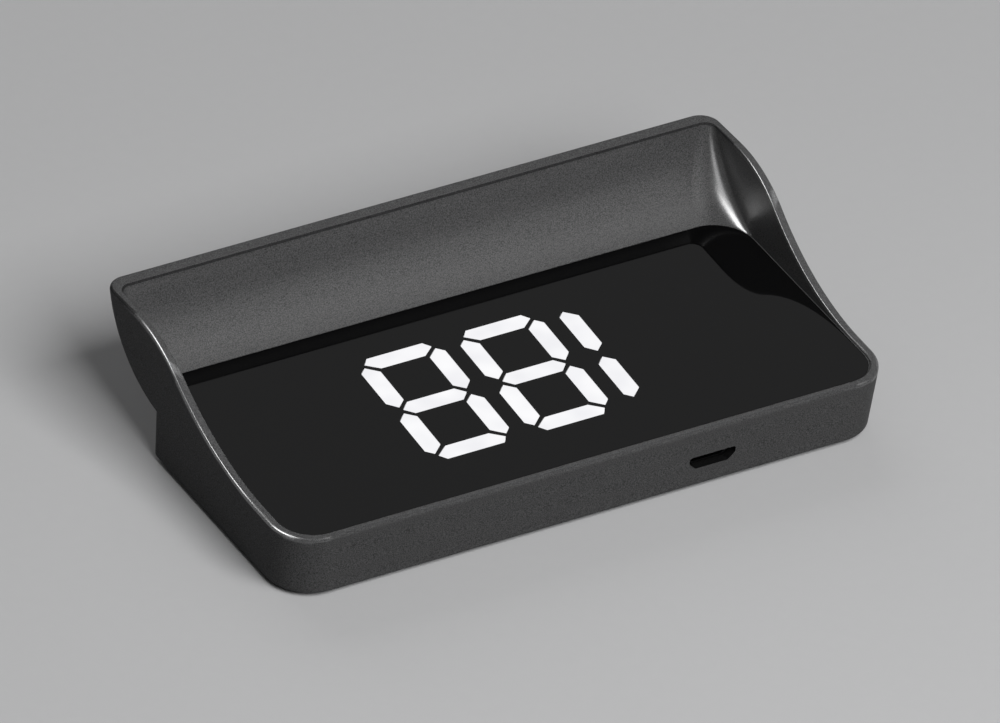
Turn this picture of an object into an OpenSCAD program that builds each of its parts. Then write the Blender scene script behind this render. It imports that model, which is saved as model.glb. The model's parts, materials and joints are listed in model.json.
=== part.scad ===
// Hooded dashboard speed display. A wedge-shaped case holds a dark window with a mirrored
// seven-segment read-out, a solar cell, a battery, a satellite receiver and a thumb dial.
// Lengths are millimetres and angles are degrees. X runs to the right, Y to the back and Z up.
// The origin is the centre of the grip pad, on the surface that the pad rests on.

/* [Case] */
// Width over the rim at the front
case_w = 98; // [97:0.5:99]
// Distance from the pad's centre forwards to the base's front edge
base_front = 18.9; // [18.8:0.05:19.1]
// Distance from the pad's centre back to the base's back face
base_back = 19.8; // [19.6:0.05:20]
// Lean of the side and front walls, outwards as they rise
wall_lean = 3; // [2.5:0.25:3.5]
// Thickness of the side and front walls
wall_t = 1.3; // [1.25:0.05:1.4]
// Height of the rim along the front
rim_z = 10.6; // [10.5:0.05:10.8]
// Steepest slope of the rim between the front and the hood
rim_slope = 34.7; // [33.7:0.1:35.2]
// Height of the window's top face
window_z = 10.1; // [10.05:0.05:10.2]

/* [Read-out] */
// Distance between the two upright strokes of a figure
figure_w = 10.8; // [10.4:0.1:11]
// Distance between the top and bottom strokes of a figure
figure_h = 22.1; // [21.5:0.1:22.5]
// Width of a stroke
stroke_w = 2.8; // [2.6:0.05:2.9]
// Lean of the figures towards the right
figure_lean = 3; // [0:0.5:4]

/* [Thumb dial] */
// Radius of the thumb dial
dial_r = 5.2; // [5:0.1:5.3]
// How far the dial stands out of the right wall
dial_reach = 1; // [0.8:0.1:1.2]

/* [Hidden] */
$fn = 48;
eps = 0.01;

// Levels, from the surface up
shell_z0 = 0.7;
pad_t = shell_z0 + 0.5;
cover_z1 = 1.9;
screw_head_z = 0.9;
screw_seat_z = 2;
cup_z1 = 3.2;
board_z0 = 2.6;
board_z1 = 3.6;
deck_z0 = 8;
deck_z1 = 9.4;
window_t = 0.6;
window_z0 = window_z - window_t;
top_z = 22;

// Case outline
front_y = -base_front;
back_y = base_back;
corner_steps = 8;
front_r = 6.5;
cavity_w = 94;
cavity_y = base_front - wall_t;
window_w = 95;
window_front_y = -17.9;
window_back_y = 22.85;

// Rim: flat at the front, a hollow curve, then a round shoulder up to the hood
rim_flat_y = -9.2;
rim_hollow_r = 40;
rim_shoulder_r = 19;
rim_fall = 2.5;

// Hood: the outside and inside of its back wall are arcs along X
hood_r = 15;
hood_axis = [19.7, 23.6];
recess_foot = [window_back_y + 0.15, window_z];
recess_lip = [31.9, 20.85];
recess_r = 16.1;
recess_foot_r = 6;
recess_lip_r = 1.6;
hood_corner_r = 3;
base_corner_r = 2;

// Fixings
boss_at = [for (x = [-43.4, 43.4], y = [-14, 14]) [x, y]];
post_at = [[-14.5, -14.2], [11.5, -14.2], [38.4, -14], [38.4, 14.6]];

// Read-out
figures_y = 2.7;
left_x = -13.15;
middle_x = 2.95;
hundreds_x = 13.72;
block_x = [-21.4, 16.6];
block_y = [-10.7, 16.1];
block_z1 = 8.6;
light_z1 = window_z - 0.05;

// Side dial
dial_y = -6;
dial_z = 5.2;
dial_t = 2.2;
axle_r = 0.75;
dial_x = half_w(dial_z) + dial_reach - dial_r;
knurls = 36;
spring_x = [35, 37.5];
spring_z = 5.1;

// USB socket
usb_x = 19.5;
usb_z = 4.85;
usb_w = 7.5;
usb_h = 2.15;
usb_bevel = 1.1;

// Half of the width over the side walls, and the front wall's place, at a height
function half_w(z) = case_w / 2 - (rim_z - z) * tan(wall_lean);
function front_at(z) = front_y - (z - shell_z0) * tan(wall_lean);

function arc(c, r, a0, a1, n) = [for (i = [0:n]) let (a = a0 + (a1 - a0) * i / n) c + r * [cos(a), sin(a)]];

// Centre of the arc of radius r from p up to q that is hollow towards the front
function arc_centre(p, q, r) =
    let (d = q - p, half = norm(d) / 2)
    (p + q) / 2 + sqrt(r * r - half * half) * [-d.y, d.x] / norm(d);

// A level, rounded rectangle, anticlockwise from above
function ring(w, f, b, rf, rb, z) = [
    for (p = concat(
        arc([w - rf, f + rf], rf, -90, 0, corner_steps),
        arc([w - rb, b - rb], rb, 0, 90, corner_steps),
        arc([-w + rb, b - rb], rb, 90, 180, corner_steps),
        arc([-w + rf, f + rf], rf, 180, 270, corner_steps)
    )) [p.x, p.y, z]
];

// The solid through a stack of rings
module loft(rings) {
    n = len(rings[0]);
    top = (len(rings) - 1) * n;
    polyhedron(
        points = [for (r = rings) each r],
        faces = concat(
            [[for (j = [0:n - 1]) j]],
            [[for (j = [n - 1:-1:0]) top + j]],
            [for (i = [0:len(rings) - 2], j = [0:n - 1])
                [i * n + j, (i + 1) * n + j, (i + 1) * n + (j + 1) % n, i * n + (j + 1) % n]]
        )
    );
}

// A round tube along a route of points
function frame_at(path, i) =
    let (a = path[max(i - 1, 0)], b = path[min(i + 1, len(path) - 1)],
         t = (b - a) / norm(b - a),
         up = abs(t.z) > 0.8 ? [1, 0, 0] : [0, 0, 1],
         s = cross(t, up) / norm(cross(t, up)))
    [s, cross(s, t)];

module tube(path, r, sides = 8) {
    rings = [for (i = [0:len(path) - 1]) let (f = frame_at(path, i))
        [for (j = [0:sides - 1]) let (a = 360 * j / sides) path[i] + r * (cos(a) * f[0] + sin(a) * f[1])]];
    loft(rings);
}

// A plate in the XY plane with round corners of one radius at the front and one at the back
module rounded_plate(w, f, b, rf, rb) {
    translate([-w, f + rf]) square([2 * w, b - rb - f - rf]);
    translate([-w + rf, f]) square([2 * (w - rf), rf + eps]);
    translate([-w + rb, b - rb - eps]) square([2 * (w - rb), rb + eps]);
    for (s = [-1, 1]) {
        translate([s * (w - rf), f + rf]) circle(rf);
        translate([s * (w - rb), b - rb]) circle(rb);
    }
}

module block(x, y, z) {
    translate([x[0], y[0], z[0]]) cube([x[1] - x[0], y[1] - y[0], z[1] - z[0]]);
}

module rod(at, r, z0, z1) {
    translate([at.x, at.y, z0]) cylinder(r = r, h = z1 - z0);
}

// Chips and other oblong parts that stand on the board
module on_board(at, size) {
    translate([at.x - size.x / 2, at.y - size.y / 2, board_z1]) cube(size);
}

// ---- Read-out strokes, as outlines about the figure's own centre ----
half_figure = figure_w / 2;
half_stroke = stroke_w / 2;
row = figure_h / 2;

top_stroke = [
    [-half_figure + 0.9, row + half_stroke], [half_figure - 0.9, row + half_stroke],
    [half_figure, row + 0.2], [half_figure - 1.9, row - half_stroke],
    [-half_figure + 1.9, row - half_stroke], [-half_figure, row + 0.2],
];
middle_stroke = [
    [-half_figure + 1.6, half_stroke], [half_figure - 1.6, half_stroke], [half_figure - 0.3, 0],
    [half_figure - 1.6, -half_stroke], [-half_figure + 1.6, -half_stroke], [-half_figure + 0.3, 0],
];
upright_stroke = [
    [-0.35, row - 0.4], [half_stroke, row - 2], [half_stroke, 2.1],
    [-0.05, 0.75], [-half_stroke, 2.2], [-half_stroke, row - 1.45],
];

function moved(p, by) = [for (q = p) q + by];
function mirrored_x(p) = [for (i = [len(p) - 1:-1:0]) [-p[i].x, p[i].y]];
function mirrored_y(p) = [for (i = [len(p) - 1:-1:0]) [p[i].x, -p[i].y]];
function placed(p, x) = [for (q = p) [x + q.x + q.y * tan(figure_lean), figures_y + q.y]];
function middle_of(p) = [for (k = [0, 1]) (min([for (q = p) q[k]]) + max([for (q = p) q[k]])) / 2];
function resized(p, k) = let (c = middle_of(p)) [for (q = p) c + k * (q - c)];

left_column = moved(upright_stroke, [-half_figure, 0]);
eight = [
    top_stroke, middle_stroke, mirrored_y(top_stroke),
    left_column, mirrored_y(left_column), mirrored_x(left_column), mirrored_x(mirrored_y(left_column)),
];
one = [upright_stroke, mirrored_y(upright_stroke)];
left_strokes = [for (p = eight) placed(p, left_x)];
middle_strokes = [for (p = eight) placed(p, middle_x)];
hundreds_strokes = [for (p = one) placed(p, hundreds_x)];
all_strokes = concat(left_strokes, middle_strokes, hundreds_strokes);

module strokes(list, k, z0, z1) {
    for (p = list) translate([0, 0, z0]) linear_extrude(z1 - z0) polygon(resized(p, k));
}

// ---- Case ----
recess_axis = arc_centre(recess_foot, recess_lip, recess_r);
hollow_end = [rim_flat_y + rim_hollow_r * sin(rim_slope), rim_z + rim_hollow_r * (1 - cos(rim_slope))];
shoulder_axis = hollow_end + rim_shoulder_r * [sin(rim_slope), -cos(rim_slope)];

// The rim's line in the YZ plane, from the front to behind the hood
rim_line = concat(
    [[-30, rim_z]],
    arc([rim_flat_y, rim_z + rim_hollow_r], rim_hollow_r, -90, -90 + rim_slope, 10),
    arc(shoulder_axis, rim_shoulder_r, 90 + rim_slope, 90 - rim_fall, 10)
);
rim_back = rim_line[len(rim_line) - 1];
rim_outline = concat(
    rim_line,
    [[45, rim_back.y - (45 - rim_back.x) * tan(rim_fall)], [45, -1], [-30, -1]]
);

// Places on the hood's outer arc and on the recess's arc
hood_back = arc(hood_axis, hood_r, -86, -5, 12);
recess_a0 = atan2(recess_foot.y - recess_axis.y, recess_foot.x - recess_axis.x);
recess_back = arc(recess_axis, recess_r, recess_a0, -10, 12);

function outer_ring(y, z) =
    ring(half_w(z), front_at(z), y, front_r, y < back_y + 1 ? base_corner_r : hood_corner_r, z);
function recess_ring(y, z) =
    let (share = (z - window_z) / (recess_lip.y - window_z),
         rb = recess_foot_r + (recess_lip_r - recess_foot_r) * min(share, 1))
    ring(half_w(z) - wall_t, front_at(z) + wall_t, y, front_r - wall_t, rb, z);

module case_block() {
    intersection() {
        loft(concat(
            [outer_ring(back_y, shell_z0), outer_ring(back_y, hood_axis.y - hood_r - 0.05)],
            [for (p = hood_back) outer_ring(p.x, p.y)],
            [outer_ring(hood_axis.x + hood_r, top_z + 1)]
        ));
        translate([-case_w, 0, 0]) rotate([90, 0, 90]) linear_extrude(2 * case_w) polygon(rim_outline);
    }
}

module recess() {
    loft(concat(
        [for (p = recess_back) recess_ring(p.x, p.y)],
        [recess_ring(recess_axis.x + recess_r, top_z + 2)]
    ));
}

// Outline of the micro-B opening in the XZ plane, with bevelled lower corners
module usb_outline(w, h, bevel) {
    polygon([
        [-w / 2, h / 2], [-w / 2, -h / 2 + bevel], [-w / 2 + bevel, -h / 2],
        [w / 2 - bevel, -h / 2], [w / 2, -h / 2 + bevel], [w / 2, h / 2],
    ]);
}

module usb_prism(y0, y1, w, h, bevel) {
    translate([usb_x, y1, usb_z]) rotate([90, 0, 0]) linear_extrude(y1 - y0) usb_outline(w, h, bevel);
}

module upper_shell() {
    color([0.2, 0.2, 0.2])
    difference() {
        union() {
            difference() {
                case_block();
                recess();
                translate([0, 0, deck_z1])
                    linear_extrude(window_z + 0.2 - deck_z1)
                        rounded_plate(window_w / 2 + 0.1, window_front_y - 0.1, recess_foot.x - 0.05, 5.1, 5.9);
                translate([0, 0, -1])
                    linear_extrude(deck_z0 + 1) rounded_plate(cavity_w / 2, -cavity_y, cavity_y, 5, 1.5);
            }
            for (p = boss_at) rod(p, 2.3, cup_z1, deck_z0 + 0.4);
            for (p = post_at) rod(p, 1.8, board_z1, deck_z0 + 0.4);
        }
        for (p = boss_at) rod(p, 1.02, cup_z1 - 1, deck_z0 - 0.4);
        for (p = post_at) rod(p, 0.82, board_z1 - 1, deck_z0 - 0.6);
        block([block_x[0] - 0.3, block_x[1] + 0.3], [block_y[0] - 0.3, block_y[1] + 0.3], [deck_z0 - 1, deck_z1 + 0.2]);
        block([-46, -24.5], [-16, 16], [8.55, deck_z1 + 0.2]);
        rod([-24.9, -11.4], 1.3, deck_z0 - 1, deck_z1 + 0.2);
        rod([7.5, -13.6], 1.15, deck_z0 - 1, deck_z1 + 0.2);
        usb_prism(front_y - 3, front_y + 3, usb_w, usb_h, usb_bevel);
        block([cavity_w / 2 - 1, case_w], [dial_y - 4.9, dial_y + 4.9], [dial_z - 1.4, dial_z + 1.4]);
    }
}

module bottom_cover() {
    clear = 0.2;
    color([0.13, 0.13, 0.13])
    difference() {
        union() {
            translate([0, 0, shell_z0])
                linear_extrude(cover_z1 - shell_z0)
                    rounded_plate(cavity_w / 2 - clear, -cavity_y + clear, cavity_y - clear, 4.8, 1.3);
            for (p = boss_at) rod(p, 2.9, pad_t, cup_z1);
            for (y = [-9, 0, 9]) block([-42.6, -41.4], [y - 2, y + 2], [cover_z1 - 0.4, 5]);
            for (x = [-36, -30]) block([x - 1.5, x + 1.5], [15.3, 16.3], [cover_z1 - 0.4, 5]);
        }
        linear_extrude(pad_t) rounded_plate(35.2, -12.2, 12.2, 4.2, 4.2);
        for (p = boss_at) {
            rod(p, 2, 0, screw_seat_z);
            rod(p, 1.15, 0, cup_z1 + 1);
        }
        for (a = [0:60:300]) rod([37.4 + 1.7 * cos(a), 9 + 1.7 * sin(a)], 0.45, 0, 3);
        rod([37.4, 9], 0.45, 0, 3);
        for (i = [0:5]) block([-12 + 4 * i, -10.6 + 4 * i], [13.2, 16.4], [0, 3]);
        rod([-30, -14.8], 0.6, 0, 3);
    }
}

module case_screws() {
    color([0.55, 0.55, 0.57])
    for (p = boss_at) difference() {
        union() {
            rod(p, 1.8, screw_head_z, screw_seat_z);
            rod(p, 1, screw_seat_z - eps, 6.4);
            translate([p.x, p.y, 6.4 - eps]) cylinder(r1 = 1, r2 = 0.3, h = 0.9);
        }
        for (a = [0, 90]) translate([p.x, p.y, screw_head_z]) rotate(a) cube([2.2, 0.45, 1.2], center = true);
    }
}

module grip_pad() {
    color([0.06, 0.06, 0.06]) linear_extrude(pad_t) rounded_plate(35, -12, 12, 4, 4);
}

// ---- Window and read-out ----
module display_window() {
    color([0.02, 0.02, 0.02])
    difference() {
        translate([0, 0, window_z0])
            linear_extrude(window_t) rounded_plate(window_w / 2, window_front_y, window_back_y, 5, 5.8);
        strokes(all_strokes, 1.02, window_z0 - 1, window_z + 1);
    }
}

module window_adhesive() {
    color([0.85, 0.85, 0.8])
    translate([0, 0, deck_z1])
        linear_extrude(window_z0 - deck_z1)
            difference() {
                rounded_plate(46.9, -17.7, 22.4, 4.6, 5.4);
                translate([-46.1, -16.2]) square([92, 34]);
            }
}

module left_figure_lights() {
    color("white") strokes(left_strokes, 1, block_z1, light_z1);
}

module middle_figure_lights() {
    color("white") strokes(middle_strokes, 1, block_z1, light_z1);
}

module hundreds_figure_lights() {
    color("white") strokes(hundreds_strokes, 1, block_z1, light_z1);
}

module reflector_block() {
    color([0.9, 0.9, 0.88])
    difference() {
        block(block_x, block_y, [board_z1, block_z1]);
        strokes(all_strokes, 0.7, board_z1 - 1, block_z1 + 1);
    }
}

module display_gasket() {
    border = 0.45;
    color([0.05, 0.05, 0.05])
    difference() {
        block(block_x, block_y, [block_z1, deck_z1]);
        block([block_x[0] + border, block_x[1] - border], [block_y[0] + border, block_y[1] - border], [block_z1 - 1, deck_z1 + 1]);
    }
}

module segment_leds() {
    color([0.95, 0.9, 0.6])
    for (p = all_strokes) on_board(middle_of(p), [0.8, 0.8, 0.5]);
}

// ---- Board ----
module main_board() {
    color([0.05, 0.3, 0.15])
    difference() {
        block([-22.2, 40.3], [-16.8, 16.7], [board_z0, board_z1]);
        for (p = post_at) rod(p, 0.95, 0, 5);
        block([-23, -18], [14, 18], [0, 5]);
    }
}

module board_screws() {
    color([0.6, 0.6, 0.62])
    for (p = post_at) difference() {
        union() {
            rod(p, 1.4, board_z0 - 0.6, board_z0);
            rod(p, 0.8, board_z0 - eps, 7);
        }
        for (a = [0, 90]) translate([p.x, p.y, board_z0 - 0.6]) rotate(a) cube([1.7, 0.3, 0.7], center = true);
    }
}

module controller_chip() {
    color([0.08, 0.08, 0.08])
    difference() {
        on_board([-8.9, -13.9], [5, 5, 0.9]);
        rod([-10.7, -12.1], 0.3, board_z1 + 0.8, board_z1 + 1);
    }
}

module led_driver_chip() {
    color([0.08, 0.08, 0.08]) translate([0, 0, 0.15]) on_board([1.2, -13.9], [6, 3.6, 1.3]);
}

module driver_chip_legs() {
    color([0.8, 0.8, 0.82])
    for (i = [0:7], s = [-1, 1]) {
        x = 1.2 + (i - 3.5) * 0.72;
        y = -13.9 + s * 2.15;
        translate([x - 0.15, y - 0.35, board_z1]) cube([0.3, 0.7, 0.15]);
        translate([x - 0.15, y - s * 0.25 - 0.1, board_z1 + 0.15 - eps]) cube([0.3, 0.2, 0.5]);
    }
}

module charger_chip() {
    color([0.08, 0.08, 0.08]) on_board([30.4, -9.6], [3, 3, 0.9]);
}

module power_inductor() {
    color([0.3, 0.3, 0.32])
    difference() {
        on_board([31.2, -14], [4, 4, 1.8]);
        rod([31.2, -14], 1.3, board_z1 + 1.6, 9);
    }
}

module clock_crystal() {
    color([0.75, 0.75, 0.76]) on_board([-4.2, -13.9], [2, 3.2, 0.8]);
}

resistor_at = [[-11.9, -12.4], [-11.9, -13.8], [-11.9, -15.2], [5.2, -15.6], [5.2, -12], [14.2, -11.6],
               [26.2, -12.2], [26.2, -13.6], [28.3, -15.9], [34.8, -11.2], [29.6, -6.9], [17.6, 14.8]];
capacitor_at = [[-5.1, -16.1], [8.9, -16], [14.4, -15.9], [26.4, -16], [26.9, -11], [33.1, -9.6], [35, 15.3]];

module board_resistors() {
    color([0.1, 0.1, 0.12]) for (p = resistor_at) on_board(p, [0.8, 1, 0.4]);
}

module board_capacitors() {
    color([0.6, 0.5, 0.35]) for (p = capacitor_at) on_board(p, [1.6, 0.8, 0.8]);
}

module gps_receiver_can() {
    color([0.78, 0.78, 0.76]) on_board([23.4, -5.4], [10.1, 9.4, 2.2]);
}

module gps_patch_antenna() {
    color([0.75, 0.6, 0.45])
    difference() {
        on_board([26.2, 8.6], [15, 15, 3]);
        rod([26.2, 10.2], 0.5, board_z1 + 1, 9);
    }
}

module gps_antenna_plating() {
    plate_z = board_z1 + 3;
    color([0.85, 0.85, 0.85]) {
        translate([26.2 - 6, 8.6 - 6, plate_z]) cube([12, 12, 0.1]);
        rod([26.2, 10.2], 0.45, board_z1 + 1.1, plate_z + eps);
        rod([26.2, 10.2], 0.9, plate_z + 0.1 - eps, plate_z + 0.3);
    }
}

module gps_backup_cell() {
    color([0.75, 0.75, 0.75]) rod([31.3, -3], 2.2, board_z1, board_z1 + 1.4);
}

module alarm_buzzer() {
    color([0.07, 0.07, 0.07])
    difference() {
        rod([37.4, 9], 3.4, board_z1, board_z1 + 2.9);
        rod([37.4, 9], 0.8, board_z1 + 1.5, 9);
    }
}

module light_sensor() {
    color([0.9, 0.9, 0.85]) on_board([7.5, -13.6], [1.25, 2, 0.8]);
}

module light_guide() {
    color([0.85, 0.9, 0.95]) rod([7.5, -13.6], 1, board_z1 + 0.8, deck_z1 - 0.05);
}

// ---- USB socket ----
module usb_socket_shell() {
    sheet = 0.25;
    z_up = 0.05;
    color([0.75, 0.75, 0.76])
    translate([0, 0, z_up])
    difference() {
        usb_prism(-17.5, -11.9, usb_w + 0.3, usb_h + 0.45, usb_bevel + 0.1);
        usb_prism(-18.5, -12.2, usb_w + 0.3 - 2 * sheet, usb_h + 0.45 - 2 * sheet, usb_bevel);
    }
}

module usb_socket_tongue() {
    color([0.05, 0.05, 0.05]) block([usb_x - 2, usb_x + 2], [-16.9, -12.2], [usb_z + 0.25, usb_z + 0.8]);
}

module usb_socket_contacts() {
    color([0.85, 0.7, 0.3])
    for (i = [-2:2]) block([usb_x + i * 0.65 - 0.16, usb_x + i * 0.65 + 0.16], [-16.7, -12.4], [usb_z + 0.1, usb_z + 0.25]);
}

// ---- Power ----
battery_x = [-40.4, -25.6];

module battery_cell() {
    color([0.75, 0.76, 0.78])
    difference() {
        block(battery_x, [-15, 15], [2.4, 6.6]);
        for (x = battery_x) translate([x, -15, 4.5]) rotate([0, 45, 0]) cube([0.8, 4, 0.8], center = true);
    }
}

module battery_foam() {
    color([0.2, 0.2, 0.2]) block([-39.5, -26.7], [-13, 13], [cover_z1, 2.4]);
}

red_route = [
    [-34, -15, 4.4], [-34, -15.6, 4.4], [-33.8, -16.3, 4.4], [-33.1, -16.8, 4.4], [-31, -16.9, 4.5],
    [-28.5, -16.9, 4.7], [-26.3, -16.9, 4.8], [-25.2, -16.6, 4.9], [-24.6, -15.9, 4.9],
    [-24.3, -15.2, 4.9], [-24, -14.7, 4.9], [-23.6, -14.6, 4.9],
];
black_route = [
    [-30.5, -15, 4.4], [-30.5, -15.35, 4.4], [-29.9, -15.65, 4.5], [-28.4, -15.65, 4.6],
    [-26.6, -15.6, 4.8], [-25.6, -15.3, 4.9], [-25, -14.6, 4.9], [-24.6, -13.9, 4.9],
    [-24.2, -13.5, 4.9], [-23.6, -13.4, 4.9],
];
solar_route = [
    [-25.3, 0, 8.6], [-25.3, 0, 7.6], [-25.2, 0, 6.6], [-24.7, 0, 5.6], [-23.9, 0, 4.9],
    [-23, 0, 4.5], [-22, 0, 4.3], [-21.3, 0, 4.1], [-20.9, 0, 3.8], [-20.8, 0, 3.6],
];

module battery_lead_red() {
    color([0.7, 0.05, 0.05]) tube(red_route, 0.4);
}

module battery_lead_black() {
    color([0.05, 0.05, 0.05]) tube(black_route, 0.4);
}

module battery_plug() {
    color([0.9, 0.9, 0.86]) block([-23.6, -20.9], [-15.4, -12.6], [4, 5.8]);
}

module battery_socket() {
    color([0.92, 0.9, 0.84])
    difference() {
        block([-20.9, -17.1], [-15.9, -12.15], [board_z1, 6.2]);
        block([-22, -18.2], [-15.4, -12.6], [4, 5.8]);
    }
}

module solar_cell() {
    color([0.03, 0.04, 0.1]) block([-45.8, -24.7], [-15.8, 15.8], [8.6, 9.05]);
}

module solar_busbars() {
    color([0.75, 0.75, 0.78]) {
        for (x = [-42, -35.25, -28.5]) block([x - 0.4, x + 0.4], [-15.2, 15.2], [9.05, 9.1]);
    }
}

module solar_leads() {
    color([0.75, 0.1, 0.1])
    for (lead = [[-11.05, 0], [-11.75, 0.1]])
        tube([for (p = solar_route) [p.x, lead[0], p.z]], 0.28);
}

// ---- Thumb dial ----
module mode_dial() {
    color([0.15, 0.15, 0.15])
    difference() {
        rod([dial_x, dial_y], dial_r, dial_z - dial_t / 2, dial_z + dial_t / 2);
        rod([dial_x, dial_y], axle_r + 0.04, 0, 10);
        for (i = [0:knurls - 1]) {
            a = 360 * i / knurls;
            rod([dial_x + (dial_r + 0.1) * cos(a), dial_y + (dial_r + 0.1) * sin(a)], 0.25, 0, 10, $fn = 24);
        }
    }
}

module dial_axle() {
    color([0.8, 0.8, 0.82]) rod([dial_x, dial_y], axle_r, 4.0, dial_z + dial_t / 2 + 0.3);
}

module dial_carriage() {
    color([0.85, 0.85, 0.8]) {
        block([37.5, 46.3], [dial_y - 2.2, dial_y + 2.2], [3.7, 4.0]);
        block([37.5, 38.2], [dial_y - 2.2, dial_y + 2.2], [4.0 - eps, 6.2]);
    }
}

// The coil's turns run round an axis along X, with flat ends against the base and the carriage
module dial_spring() {
    turns = 4;
    steps = 16;
    sides = 8;
    coil_r = 0.75;
    wire_r = 0.12;
    x0 = spring_x[0] + wire_r;
    x1 = spring_x[1] - wire_r;
    color([0.7, 0.7, 0.72])
    loft([for (i = [0:turns * steps]) let (a = 360 * i / steps, x = x0 + (x1 - x0) * i / (turns * steps))
        [for (j = [0:sides - 1]) let (b = 360 * j / sides, r = coil_r + wire_r * cos(b))
            [x + wire_r * sin(b), dial_y + r * cos(a), spring_z + r * sin(a)]]]);
}

module dial_switch_base() {
    color([0.1, 0.1, 0.1]) {
        block([34, 35], [dial_y - 3.3, dial_y + 3.3], [board_z1, 6.4]);
        for (s = [-1, 1]) block([35 - eps, 40.2], [dial_y + s * 2.8 - 0.5, dial_y + s * 2.8 + 0.5], [board_z1, 4.0]);
    }
}

module dial_switch_contacts() {
    color([0.85, 0.7, 0.3])
    for (s = [-1, 1]) block([35, 37], [dial_y + s * 2.5 - 0.1, dial_y + s * 2.5 + 0.1], [4.6, 5.8]);
}

upper_shell();
bottom_cover();
case_screws();
grip_pad();
display_window();
window_adhesive();
left_figure_lights();
middle_figure_lights();
hundreds_figure_lights();
reflector_block();
display_gasket();
segment_leds();
main_board();
board_screws();
controller_chip();
led_driver_chip();
driver_chip_legs();
charger_chip();
power_inductor();
clock_crystal();
board_resistors();
board_capacitors();
gps_receiver_can();
gps_patch_antenna();
gps_antenna_plating();
gps_backup_cell();
alarm_buzzer();
light_sensor();
light_guide();
usb_socket_shell();
usb_socket_tongue();
usb_socket_contacts();
battery_cell();
battery_foam();
battery_lead_red();
battery_lead_black();
battery_plug();
battery_socket();
solar_cell();
solar_busbars();
solar_leads();
mode_dial();
dial_axle();
dial_carriage();
dial_spring();
dial_switch_base();
dial_switch_contacts();
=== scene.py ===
"""Looks of a hooded dashboard speed display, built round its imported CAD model.

The case is one lofted mesh: rounded rectangles stacked up the walls, cut along the rim's line, with
rounded rim edges and a curved hood. Lengths in the geometry sections are millimetres, in the CAD's
own frame: X to the right, Y to the back, Z up.
"""

import json
import math

import bmesh
import bpy
import numpy as np
from mathutils import Matrix, Vector


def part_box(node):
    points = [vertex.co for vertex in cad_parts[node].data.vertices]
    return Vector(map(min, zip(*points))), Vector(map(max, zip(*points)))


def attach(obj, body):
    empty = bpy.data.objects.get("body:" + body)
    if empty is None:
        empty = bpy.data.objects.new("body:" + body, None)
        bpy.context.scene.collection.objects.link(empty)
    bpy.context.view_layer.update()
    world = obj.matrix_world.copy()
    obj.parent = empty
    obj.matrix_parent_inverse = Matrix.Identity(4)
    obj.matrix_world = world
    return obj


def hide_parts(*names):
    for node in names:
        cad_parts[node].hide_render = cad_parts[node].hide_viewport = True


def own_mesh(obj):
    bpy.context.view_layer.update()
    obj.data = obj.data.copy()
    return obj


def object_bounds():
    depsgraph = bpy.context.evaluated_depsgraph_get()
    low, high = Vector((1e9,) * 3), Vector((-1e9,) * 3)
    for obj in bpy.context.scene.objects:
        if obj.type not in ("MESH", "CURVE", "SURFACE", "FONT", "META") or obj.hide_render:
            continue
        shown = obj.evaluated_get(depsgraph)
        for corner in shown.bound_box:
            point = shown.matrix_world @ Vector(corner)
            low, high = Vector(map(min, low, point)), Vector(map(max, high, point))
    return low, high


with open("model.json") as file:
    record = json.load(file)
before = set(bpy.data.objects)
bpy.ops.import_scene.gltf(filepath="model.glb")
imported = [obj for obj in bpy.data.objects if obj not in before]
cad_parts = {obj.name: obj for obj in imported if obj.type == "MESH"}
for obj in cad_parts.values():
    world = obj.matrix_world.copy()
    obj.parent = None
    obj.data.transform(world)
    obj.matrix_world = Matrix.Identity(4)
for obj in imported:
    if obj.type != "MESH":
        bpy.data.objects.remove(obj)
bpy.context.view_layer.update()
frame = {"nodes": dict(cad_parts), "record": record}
scene = bpy.context.scene
MM = 0.001

# ---------------------------------------------------------------------------------------- camera
CAMERA_AZIMUTH = math.radians(-33.95)
CAMERA_ELEVATION = math.radians(36.19)
CAMERA_ROLL = math.radians(5.72)
CAMERA_LENS = 700.0  # so long that the view is nearly without perspective
CLIP = (0.1, 20)  # metres
FIELD_WIDTH = 140.5  # at AIM
AIM = (0.0, 19.1, 0.5)
AIM_OFFSET = (6.84, 1.01)  # to the right and up in the picture, from AIM


def axes_of_view(azimuth, elevation, roll):
    """The picture's right and up, and the way towards the camera."""
    right = Vector((math.cos(azimuth), math.sin(azimuth), 0))
    back = Vector((
        math.sin(azimuth) * math.cos(elevation),
        -math.cos(azimuth) * math.cos(elevation),
        math.sin(elevation),
    ))
    up = back.cross(right)
    turned_right = math.cos(roll) * right + math.sin(roll) * up
    turned_up = -math.sin(roll) * right + math.cos(roll) * up
    return turned_right, turned_up, back


def make_camera():
    right, up, back = axes_of_view(CAMERA_AZIMUTH, CAMERA_ELEVATION, CAMERA_ROLL)
    data = bpy.data.cameras.new("camera")
    data.lens = CAMERA_LENS
    distance = FIELD_WIDTH * CAMERA_LENS / data.sensor_width
    aim = Vector(AIM) + right * AIM_OFFSET[0] + up * AIM_OFFSET[1]
    place = (aim + back * distance) * MM
    data.clip_start, data.clip_end = CLIP
    camera = bpy.data.objects.new("camera", data)
    turn = Matrix((right, up, back)).transposed()
    camera.matrix_world = Matrix.Translation(place) @ turn.to_4x4()
    scene.collection.objects.link(camera)
    scene.camera = camera


# ------------------------------------------------------------------------- the case's own sizes
def box_mm(node):
    low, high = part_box(node)
    return Vector(low) / MM, Vector(high) / MM


window_low, window_high = box_mm("display_window")
dial_low, dial_high = box_mm("mode_dial")
socket_low, socket_high = box_mm("usb_socket_shell")
block_low, block_high = box_mm("reflector_block")
cell_low, cell_high = box_mm("solar_cell")

CASE_W = 98.0
BASE_FRONT = 18.9
BASE_BACK = 19.8
SHELL_Z0 = 0.7
WALL = 1.3
LEAN = math.tan(math.radians(3))

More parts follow.
